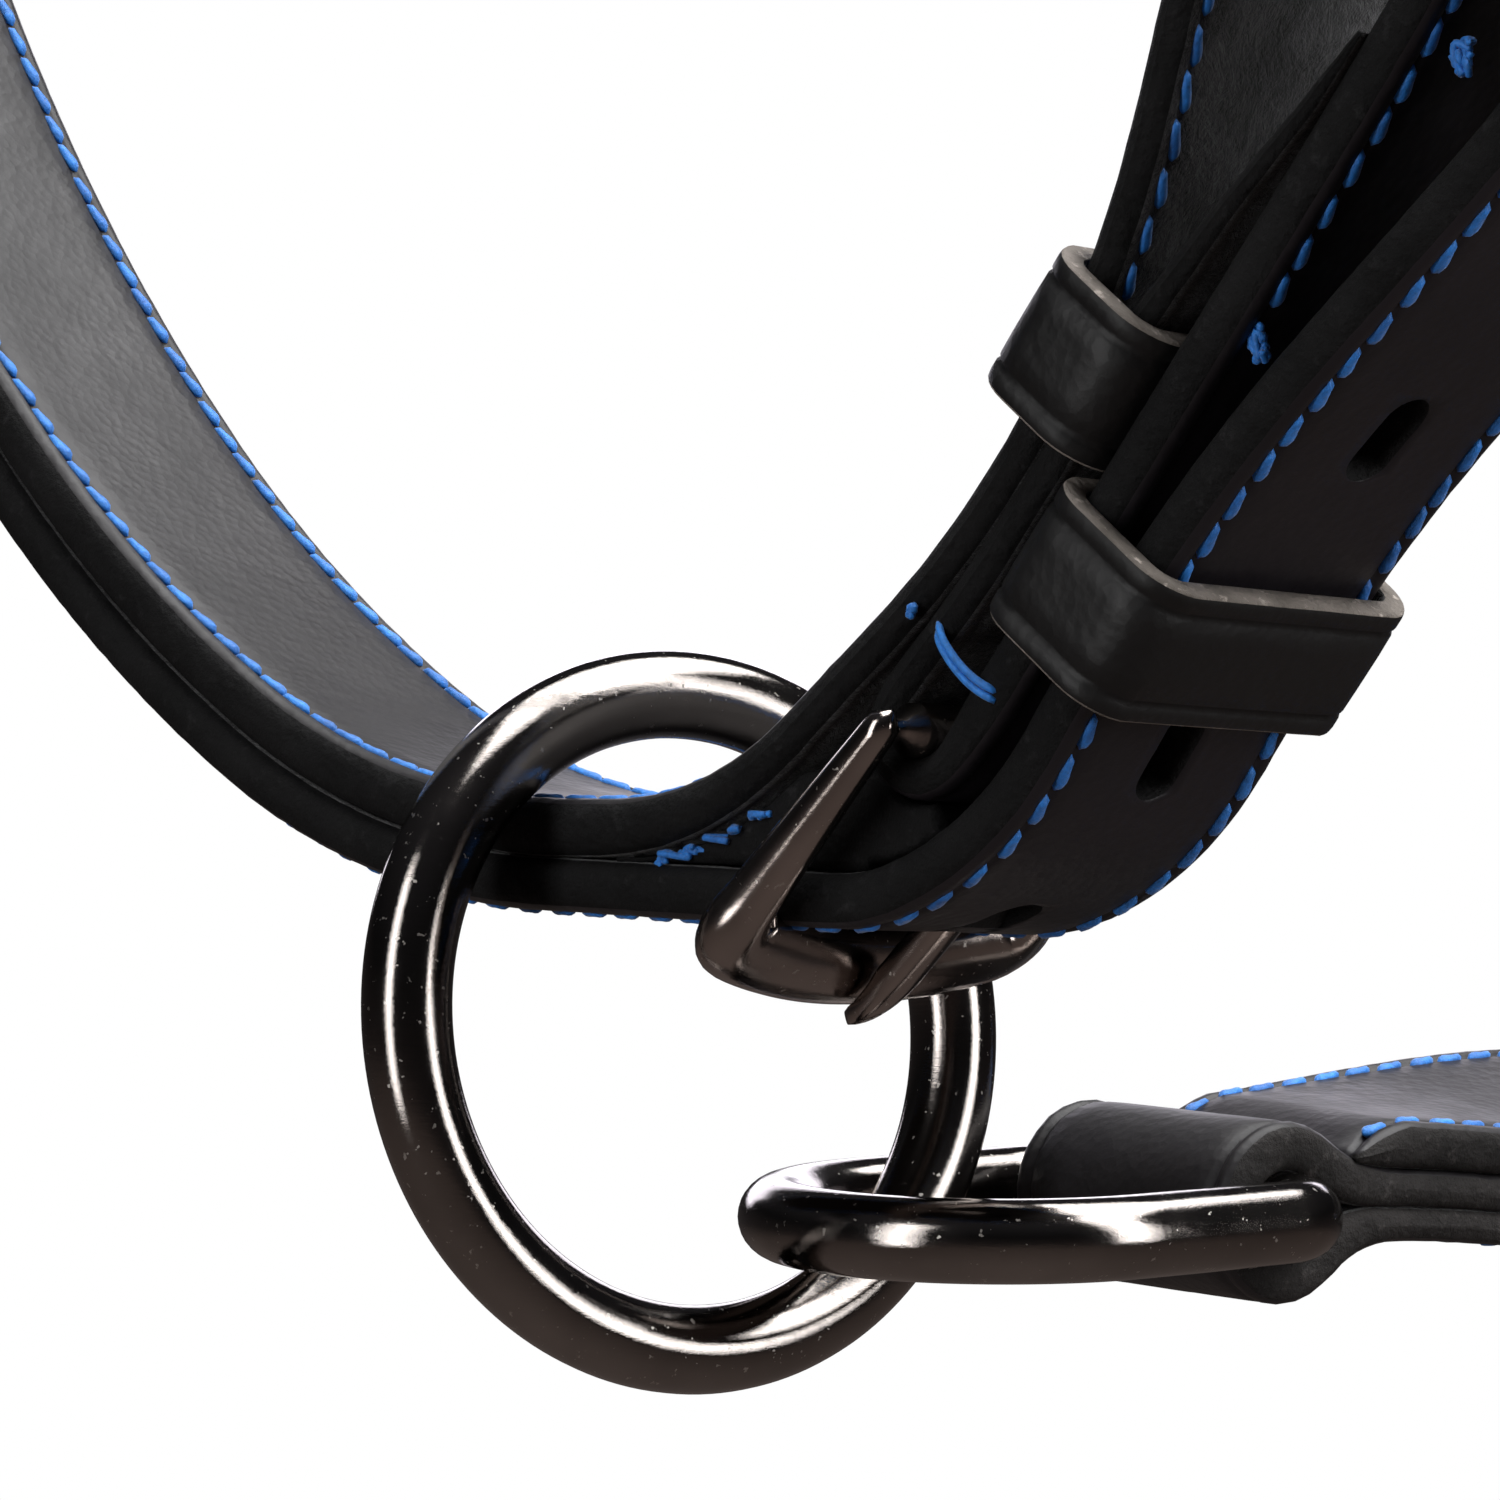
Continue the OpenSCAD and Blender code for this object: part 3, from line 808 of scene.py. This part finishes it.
def make_guard_strap():
    middle = side(guard_lined, OUTER_T + GUARD_T / 2 + 0.03)
    taper = [GUARD_T + (GUARD_END_T - GUARD_T) * ease(d / 22.0) for d in lengths(guard_free)]
    free_middle = side(guard_free, [-t / 2 for t in taper])
    thick = [GUARD_T] * len(middle) + taper[1:]
    points, values = evenly(middle + free_middle[1:], thick, FINE_STEP)
    points = relax(points, 3)
    s = lengths(points)
    values = skived_in(s, values, 12.0)
    obj = sweep_strap("guard_strap_leather", NECK_PLANE, points, values, LINING_SET, half=tip_halves(points))
    settle(obj, "neck", "lining_leather", "guard_strap")
    last = s[-1] - ROW_FROM_TIP
    sew("guard_strap_stitches", "neck", NECK_PLANE, points, values, 1, 1, (6, last), seed=5)
    sew("guard_strap_back_stitches", "neck", NECK_PLANE, points, values, 1, -1, (s[-1] - 72, last), seed=6)


def make_seam_wedge():
    """A crumpled dark sheet, all in the edge colour, that fills the fork between the guard strap, the foot
    and the fold.
    """
    foot_points = 45
    low = side(billet_path, OUTER_T + 0.06)[:foot_points]
    high = side(guard_free, -GUARD_T - 0.05)
    xs = np.arange(0.5, 23.6, 0.5)
    floor = np.interp(xs, *zip(*low))
    guard = np.interp(xs, *zip(*high))
    roll_r = BORE_R + SKIVED_T + 0.2
    under = NECK_HEEL[1] - np.sqrt(np.maximum(0.01, (roll_r + 0.05) ** 2 - (xs - NECK_HEEL[0]) ** 2))
    roof = np.where(abs(xs - NECK_HEEL[0]) < roll_r, np.minimum(guard, under), np.minimum(guard, 8.6))
    middle = [(x, (a + b) / 2) for x, a, b in zip(xs, floor, roof)]
    thick = np.maximum(0.25, roof - floor - 0.1)
    half = [STRAP_W / 2 - 0.8 + 0.25 * noise.noise(Vector((1.1 * x, 3, 0))) for x in xs]
    # The fill is drawn all in the dark edge colour
    obj = sweep_strap("seam_wedge_leather", NECK_PLANE, relax(middle, 2), thick, [STRAP_EDGE] * 3, half=half,
                      grooves=False, round_r=0.6)
    tongue_room = box_cutter(AT_NECK_HEEL @ Matrix.Translation((-6.0, 0, -2.0)), (22, 4.2, 12))
    cut(obj, [tongue_room], NECK_PLANE, STRAP_EDGE)
    settle(obj, "neck", "lining_leather")


# ---------------- body strap and girth

def make_body_strap():
    lower, upper = -LOWER_T / 2, UPPER_T / 2
    # The roll round the D-ring's bar begins and ends at this angle from the strap's line
    leave = 40
    roll = arc_points((0, 0), DEE_WIRE / 2 + FOLD_GAP + FOLD_T / 2, 360 - leave, leave, 35)
    shape = [(BODY_L - d, lower) for d in np.arange(0, BODY_L - 7.5, STEP)]
    shape += [(6.3, lower - 0.12), (4.6, lower - 0.55)]
    shape += roll
    shape += [(4.6, upper + 0.55), (6.3, upper + 0.12)]
    shape += [(d, upper) for d in np.arange(7.5, BODY_L + 0.1, STEP)]
    thick = [FOLD_T + ((LOWER_T if z < 0 else UPPER_T) - FOLD_T) * ease((y - 3) / 6) for y, z in shape]
    points, values = evenly(shape, thick, FINE_STEP)
    points = relax(points, 2)
    obj = sweep_strap("body_strap_leather", BODY_PLANE, points, values, BODY_SET, round_r=0.9, leaning=True)
    settle(obj, "body", "strap_leather", "body_strap")
    sew("body_strap_stitches", "body", BODY_PLANE, points, values, 1, 1, (6, BODY_L - 16), seed=8,
        leaning=True)

    top_mid = [(5.2, UPPER_T + 0.75), (6.2, UPPER_T + 0.85), (7.6, UPPER_T + 1.1), (9.4, UPPER_T + TOP_T / 2)]
    top_thick = [0.5, 1.2, 2.1, TOP_T]
    ys = np.arange(TOP_START, BODY_L + 0.1, STEP)
    top_mid += [(y, UPPER_T + TOP_T / 2) for y in ys]
    top_thick += [TOP_T] * len(ys)
    points, values = evenly(top_mid, top_thick, FINE_STEP)
    top = sweep_strap("body_top_leather", BODY_PLANE, points, values, TOP_SET, round_r=1.0, leaning=True)
    settle(top, "body", "strap_leather", "body_top_layer")
    sew("body_top_stitches", "body", BODY_PLANE, points, values, 1, 1, (1.7, lengths(points)[-1] - 4),
        seed=9, slant=-STITCH_SLANT, leaning=True)


def make_girth():
    middle = side(girth_path, -GIRTH_T / 2)
    thick = skived_in(lengths(middle), [GIRTH_T] * len(middle), 10)
    points, values = evenly(middle, thick, 1.2)
    half = tip_halves(points)
    obj = sweep_strap("girth_strap_leather", BODY_PLANE, points, values, STRAP_SET, -1, half=half)
    first = lengths(girth_path)[-1] - GIRTH_HOLE_FROM_TIP
    spots = [(first, GIRTH_TONGUE_HOLE)] + [(first + i * HOLE_PITCH, BILLET_HOLE) for i in range(1, 4)]
    cut(obj, [punched(girth_path, -GIRTH_T / 2, spots)], BODY_PLANE, STRAP_EDGE)
    settle(obj, "body", "lining_leather", "girth_strap")
    last = lengths(points)[-1] - ROW_FROM_TIP
    sew("girth_strap_stitches", "body", BODY_PLANE, points, values, -1, 1, (5, last), seed=10)

    heel_y, heel_z = GIRTH_HEEL
    leg = walk((heel_y, heel_z + BORE_R + SKIVED_T, 180), [(22, 15.5), (22, -15.5), (26, 0)])
    r = BORE_R + SKIVED_T / 2
    shape = [(y, heel_z - r) for y in np.arange(leg[-1][0], heel_y, STEP)]
    shape += arc_points((heel_y, heel_z), r, -90, 90, 15)
    shape += side(leg, SKIVED_T / 2)[1:]
    points, values = evenly(shape, [SKIVED_T] * len(shape), 0.7)
    chape = sweep_strap("girth_chape_leather", BODY_PLANE, relax(points, 2), values, LINING_SET, -1,
                        round_r=0.8)
    slot = box_cutter(Matrix.Translation((heel_y + 2, 0, heel_z)), (14, 4, 7.9))
    cut(chape, [slot], BODY_PLANE, STRAP_EDGE)
    settle(chape, "body", "lining_leather", "girth_chape")


# ---------------- keepers

def make_keeper(name, node, body, plane, x, z, heading, slot_h):
    """A leather band round a stack of straps: soft corners, two creases and a pale cut edge."""
    t, w = KEEPER_T, STRAP_W + 0.6
    half_w = KEEPER_W / 2
    # Where the band has rings across its width, and how deep each is sunk
    stations = [(-half_w, 0.14), (-half_w + 0.12, 0.05), (-half_w + 0.4, 0.0), (-half_w + 1.0, 0.0),
                (-half_w + 1.25, 0.28), (-half_w + 1.5, 0.0), (-1.2, -0.03)]
    stations += [(-x, dip) for x, dip in reversed(stations)]

    def box_line(wall, r):
        """A rounded box this wall outside the slot: each corner, then the side up to the next one."""
        a, b = (w + 2 * wall) / 2 - r, (slot_h + 2 * wall) / 2 - r
        line = []
        for corner, start, (to_y, to_z), count in (
                ((a, b), 0, (-a, b + r), 9), ((-a, b), 90, (-a - r, -b), 3),
                ((-a, -b), 180, (a, -b - r), 9), ((a, -b), 270, (a + r, b), 3)):
            line += arc_points(corner, r, start, start + 90, 8)
            y, z = line[-1]
            line += [(y + (to_y - y) * k / count, z + (to_z - z) * k / count) for k in range(1, count)]
        return line

    outer_line = box_line(t, 3.0)
    inner_line = box_line(0.01, 1.4)
    around = len(outer_line)
    rings, kinds = [], []
    for sx, dip in stations:
        ring = []
        for y, up in outer_line:
            length = math.hypot(y, up)
            bulge = 0.05 * noise.noise(Vector((sx * 0.25, y * 0.22, up * 0.22 + len(name))))
            crown = 0.08 * math.cos(math.pi * sx / KEEPER_W)
            d = -dip + bulge + (crown if abs(up) > slot_h / 2 and abs(y) < w / 2 - 2 else 0)
            out_y, out_z = y / length, up / length
            if abs(up) >= (slot_h + 2 * t) / 2 - 0.05:
                out_y, out_z = 0, math.copysign(1, up)
            elif abs(y) >= (w + 2 * t) / 2 - 0.05:
                out_y, out_z = math.copysign(1, y), 0
            ring.append((sx, y + out_y * d, up + out_z * d))
        rings.append(ring)
    for sx in (half_w, half_w - 0.4, 0, -half_w + 0.4, -half_w):
        rings.append([(sx, y, up) for y, up in inner_line])
    steps, outer_n = len(rings), len(stations)
    for i in range(steps):
        if i in (0, outer_n - 2, outer_n - 1, steps - 1):
            kinds += [EDGE] * around
        else:
            kinds += [GRAIN if i < outer_n else FLESH] * around
    obj = new_mesh(name, np.array(rings).reshape(-1, 3), grid_faces(steps, around, True),
                   [KEEPER_FACE, CUT_EDGE, FLESH_FACE], kinds, at(plane, x, z, heading))
    settle(obj, body, "keeper_leather", node)


def make_keepers():
    for node, (along, left, slot_h) in (("guard_keeper", GUARD_KEEPER), ("neck_keeper", NECK_KEEPER)):
        x, z = at_heel([(along, left)])[0]
        make_keeper(node + "_leather", node, "neck", NECK_PLANE, x, z, END_HEADING, slot_h)
    x, z, _ = end_path[-1]
    make_keeper("neck_running_leather", "neck_running_keeper", "neck_slider", NECK_PLANE,
                x + BILLET_GAP / 2, z + NECK_RUNNING_RISE, 90, 2 * OUTER_T + BILLET_GAP + 0.7)
    slot_h = 5.7
    make_keeper("girth_keeper_leather", "girth_keeper", "body", BODY_PLANE, GIRTH_KEEPER_Y,
                UPPER_T + TOP_T + SKIVED_T + 0.1 + KEEPER_T + slot_h / 2, 180, slot_h)
    make_keeper("girth_running_leather", "girth_running_keeper", "girth_slider", BODY_PLANE, GIRTH_RUNNING_Y,
                0.5 * (5.4 + GIRTH_T - LOWER_T), 180, 5.8 + GIRTH_T + LOWER_T)


# ---------------- metal

def make_rings():
    a = np.linspace(0, 2 * math.pi, 180, endpoint=False)
    line = np.stack([RING_R * np.cos(a), RING_R * np.sin(a), 0 * a], 1)
    points, faces = tube(line, RING_WIRE / 2, 36, closed=True)
    ring = new_mesh("chest_ring_metal", points, faces, [RING_METAL],
                    matrix=Matrix.Translation(RING_C) @ turn(*RING_TURN))
    settle(ring, "ring", "ring_metal", "chest_ring")

    bow_y = DEE_HALF - DEE_DEPTH
    line = arc_points((0, bow_y), DEE_HALF, 180, 360, 48)
    line += [(DEE_HALF, bow_y + d) for d in np.linspace(0.6, -bow_y - DEE_CORNER - 0.4, 14)]
    line += arc_points((DEE_HALF - DEE_CORNER, -DEE_CORNER), DEE_CORNER, 0, 90, 12)
    line += [(x, 0) for x in np.linspace(DEE_HALF - DEE_CORNER - 0.5, -DEE_HALF + DEE_CORNER + 0.5, 24)]
    line += arc_points((-DEE_HALF + DEE_CORNER, -DEE_CORNER), DEE_CORNER, 90, 180, 12)
    line += [(-DEE_HALF, y) for y in np.linspace(-DEE_CORNER - 0.4, bow_y + 0.6, 14)]
    line = np.array([(x, y, 0) for x, y in line])
    points, faces = tube(line, DEE_WIRE / 2, 32, closed=True)
    dee = new_mesh("d_ring_metal", points, faces, [RING_METAL], matrix=IN_DEE)
    settle(dee, "dee", "ring_metal", "d_ring")


def buckle_line(length):
    """The frame's centre line in its own frame, from one heel to the other round the bowed front bar."""
    corner, bow, half, past_heel = 2.4, 32.0, BUCKLE_HALF, 1.2
    front, shoulder = length + 2.4, length - 1.4
    line = [(x, -half) for x in np.linspace(-past_heel, shoulder, 20)]
    line += arc_points((shoulder, -half + corner), corner, -90, -24, 8)[1:]
    ys = np.linspace(-half + corner + 0.6, half - corner - 0.6, 26)
    line += [(front - bow + math.sqrt(bow * bow - y * y), y) for y in ys]
    line += arc_points((shoulder, half - corner), corner, 24, 90, 8)[:-1]
    line += [(x, half) for x in np.linspace(shoulder, -past_heel, 20)]
    return relax(np.array([(x, y, 0) for x, y in line]), 2)


def rounded_end(to_end, run, least):
    """How full a bar is near its end, which is rounded over a run."""
    return math.sqrt(max(least, 1 - max(0.0, 1 - to_end / run) ** 2))


def make_buckle(prefix, m, length, body, frame_node, bar_node):
    """A buckle's frame, stouter and flatter at its front bar, and its heel bar with thin ends."""
    line = buckle_line(length)
    s = lengths(line)
    radius, flat = [], []
    for x, d in zip(line[:, 0], s):
        front = ease((x - length + 2.6) / 4.0)
        radius.append((0.98 + 0.045 * max(0, x) + 0.85 * front) * rounded_end(min(d, s[-1] - d), 1.3, 0.02))
        flat.append(1.0 - 0.38 * front)
    points, faces = tube(line, radius, 24, flat=flat)
    frame_obj = new_mesh(prefix + "_frame_metal", points, faces, [BUCKLE_METAL], matrix=m)
    settle(frame_obj, body, "buckle_metal", frame_node)

    reach = BUCKLE_HALF + 0.1
    ys = np.linspace(-reach, reach, 30)
    radius = [HEEL_R * rounded_end(reach - abs(y), 0.9, 0.05) * (1 - 0.6 * ease(abs(y) - 9.2)) for y in ys]
    points, faces = tube([(0, y, 0) for y in ys], radius, 28)
    bar = new_mesh(prefix + "_heel_metal", points, faces, [BUCKLE_METAL], matrix=m)
    settle(bar, body, "buckle_metal", bar_node)


def tongue_mesh():
    """A buckle's tongue: a strip rolled round the heel bar, then a tapering prong over the front bar."""
    spine = arc_points((0, 0), 2.28, -70, -270, 20)
    spine += [(1.6, 2.65), (4, 2.85), (8, 3.02), (12, 3.0), (14.8, 2.9), (17, 2.8), (18.4, 2.5), (19.6, 1.9)]
    points, _ = evenly(spine, [0] * len(spine), 0.5)
    p = relax(points, 3)
    n = left_of(p)
    s = lengths(p)
    rings, around = [], 20
    for i in range(len(p)):
        u = s[i] / s[-1]
        to_tip = s[-1] - s[i]
        close = min(1.0, (to_tip / 5.0) ** 0.6 + 0.10)
        wide = (1.55 - 0.35 * u) * close
        tall = (0.66 + 0.3 * ease((s[i] - 6) / 6)) * (0.35 + 0.65 * close)
        ring = []
        for k in range(around):
            a = 2 * math.pi * k / around
            across, up = (math.copysign(abs(v) ** 0.75, v) for v in (math.cos(a), math.sin(a)))
            ring.append((p[i, 0] + n[i, 0] * tall * up, wide * across, p[i, 1] + n[i, 1] * tall * up))
        rings.append(ring)
    return np.array(rings).reshape(-1, 3), capped(len(rings), around)


def make_buckles():
    for prefix, plane, spot, (heading, length), bodies in (
            ("neck", NECK_PLANE, NECK_HEEL, NECK_FRAME, ("neck_buckle", "neck_tongue")),
            ("girth", BODY_PLANE, GIRTH_HEEL, GIRTH_FRAME, ("girth_buckle", "girth_tongue"))):
        nodes = [f"{prefix}_{n}" for n in ("buckle_frame", "heel_bar", "buckle_tongue")]
        m = at(plane, *spot, heading)
        make_buckle(prefix, m, length, bodies[0], *nodes[:2])
        points, faces = tongue_mesh()
        tongue = new_mesh(prefix + "_tongue_metal", points, faces, [BUCKLE_METAL], matrix=m)
        settle(tongue, bodies[1], "buckle_metal", nodes[2])


# ---------------- loose threads

def make_threads():
    """The tack round the edge of the fold, and knots and loose ends at the guard strap's seams."""
    near = -STRAP_W / 2 - 0.25
    parts = []
    for k in range(2):
        line = [(5.0 - 0.4 * u + 0.42 * k - 0.4 * math.sin(math.pi * u), near + 0.45 * (2 * u - 1) ** 6,
                 1.9 - 5.4 * u + 0.25 * k) for u in np.linspace(0, 1, 19)]
        parts.append(tube(line, TACK_R, 8, up=(1, 0.1, 0)))
    parts += knot((4.9, near + 0.15, 3.9), (0.35, 0.2, 0.35), 4, 2)
    points, faces = join_parts(parts)
    tack = new_mesh("fold_tack_thread", points, faces, [THREAD], matrix=AT_NECK_HEEL)
    settle(tack, "neck", "thread", "fold_tack")

    parts = []
    for x, z in ((43.6, 30.2), (55.9, 43.8)):
        parts += knot((x, -ROW_OFFSET, z), (0.6, 0.45, 1.15), int(10 * x), 5)
    seam = side(guard_free, -GUARD_T - 0.05)
    for x in (3.5, 5.0, 6.5, 8.0, 9.6, 11.0):
        z = np.interp(x, *zip(*seam)) - 0.3
        parts += knot((x, -STRAP_W / 2 + 0.75, z), (1.2, 0.4, 0.2), int(10 * x), 1)
    points, faces = join_parts(parts)
    knots = new_mesh("thread_knots", points, faces, [THREAD])
    settle(knots, "neck", "thread")


# ---------------- stage, light and camera

def make_stage():
    """A floor that is seen but not mirrored, so that the metal's lower sides stay dark."""
    mesh = bpy.data.meshes.new("floor")
    low = (ROW @ Vector((0, 0, -FLOOR_DROP))).z
    corners = [(x * FLOOR_HALF, y * FLOOR_HALF + 0.2, low) for x, y in ((-1, -1), (1, -1), (1, 1), (-1, 1))]
    mesh.from_pydata(corners, [], [(0, 1, 2, 3)])
    mesh.materials.append(floor_material())
    obj = bpy.data.objects.new("floor", mesh)
    bpy.context.scene.collection.objects.link(obj)
    obj.visible_glossy = False
    obj.visible_diffuse = False


def area(name, place, target, size, power, colour=(1, 1, 1)):
    """A rectangular light of a size in metres, unseen by the camera."""
    light = bpy.data.lights.new(name, "AREA")
    light.shape = "RECTANGLE"
    light.size, light.size_y = size
    light.energy = power
    light.color = colour
    obj = bpy.data.objects.new(name, light)
    obj.location = ROW @ Vector(place)
    obj.visible_camera = False
    obj.rotation_euler = (Vector(target) - Vector(place)).to_track_quat("-Z", "Y").to_euler()
    bpy.context.scene.collection.objects.link(obj)


def make_world():
    """White to the camera; to the other rays a dark room with a brownish ground, which the metal mirrors."""
    world = bpy.data.worlds.new("studio")
    bpy.context.scene.world = world
    world.use_nodes = True
    tree = world.node_tree
    tree.nodes.clear()
    out = tree.nodes.new("ShaderNodeOutputWorld")
    seen = add(tree, "ShaderNodeBackground", Color=(1, 1, 1, 1), Strength=1.0)
    lit = add(tree, "ShaderNodeBackground", Strength=1.0)
    coordinates = tree.nodes.new("ShaderNodeTexCoord")
    split = tree.nodes.new("ShaderNodeSeparateXYZ")
    tree.links.new(coordinates.outputs["Generated"], split.inputs["Vector"])
    height = add(tree, "ShaderNodeMapRange")
    height.inputs["From Min"].default_value = -1
    height.inputs["From Max"].default_value = 1
    tree.links.new(split.outputs["Z"], height.inputs["Value"])
    room = [(0.0, (0.19, 0.155, 0.142)), (0.36, (0.11, 0.088, 0.08)), (0.46, (0.035, 0.03, 0.03)),
            (0.62, (0.012, 0.012, 0.013)), (1.0, (0.05, 0.05, 0.055))]
    tree.links.new(ramp(tree, height.outputs["Result"], room), lit.inputs["Color"])
    path = tree.nodes.new("ShaderNodeLightPath")
    both = tree.nodes.new("ShaderNodeMixShader")
    tree.links.new(path.outputs["Is Camera Ray"], both.inputs[0])
    tree.links.new(lit.outputs[0], both.inputs[1])
    tree.links.new(seen.outputs[0], both.inputs[2])
    tree.links.new(both.outputs[0], out.inputs["Surface"])


def make_camera():
    """The camera of the photograph; returns the directions it looks in, to its right and up."""
    camera = bpy.data.cameras.new("camera")
    camera.lens = 144
    camera.sensor_width = 36
    camera.clip_start = 0.01
    obj = bpy.data.objects.new("camera", camera)
    azimuth, elevation = math.radians(CAMERA_AZIMUTH), math.radians(CAMERA_ELEVATION)
    look = Vector((-math.sin(azimuth) * math.cos(elevation), math.cos(azimuth) * math.cos(elevation),
                   math.sin(elevation)))
    level = Vector((math.cos(azimuth), math.sin(azimuth), 0))
    right = Matrix.Rotation(-math.radians(CAMERA_ROLL), 3, look) @ level
    up = right.cross(look)
    rotation = Matrix((right, up, -look)).transposed()
    obj.matrix_world = Matrix.Translation(ROW @ Vector(CAMERA_AT)) @ rotation.to_4x4()
    bpy.context.scene.collection.objects.link(obj)
    bpy.context.scene.camera = obj
    return look, right, up


def make_lights(look, right, up):
    """Soft boxes, placed from a centre to the camera's right, upwards and back towards the camera."""
    centre = Vector((5, 5, 0))

    def from_camera(r, u, f):
        return centre + right * r + up * u - look * f

    area("top_box", from_camera(170, 640, -60), centre, (0.66, 0.66), 10.0)
    area("left_box", from_camera(-330, 110, 330), centre, (0.13, 0.50), 1.4)
    area("right_box", from_camera(400, 210, 190), centre, (0.16, 0.62), 2.3)
    area("back_box", from_camera(0, 130, -520), centre, (0.6, 0.16), 0.9, (0.94, 0.90, 1.0))


make_neck_strap()
make_guard_strap()
make_seam_wedge()
make_body_strap()
make_girth()
make_keepers()
make_rings()
make_buckles()
make_threads()
make_stage()
make_world()
make_lights(*make_camera())

scene = bpy.context.scene
scene.view_settings.view_transform = "Standard"
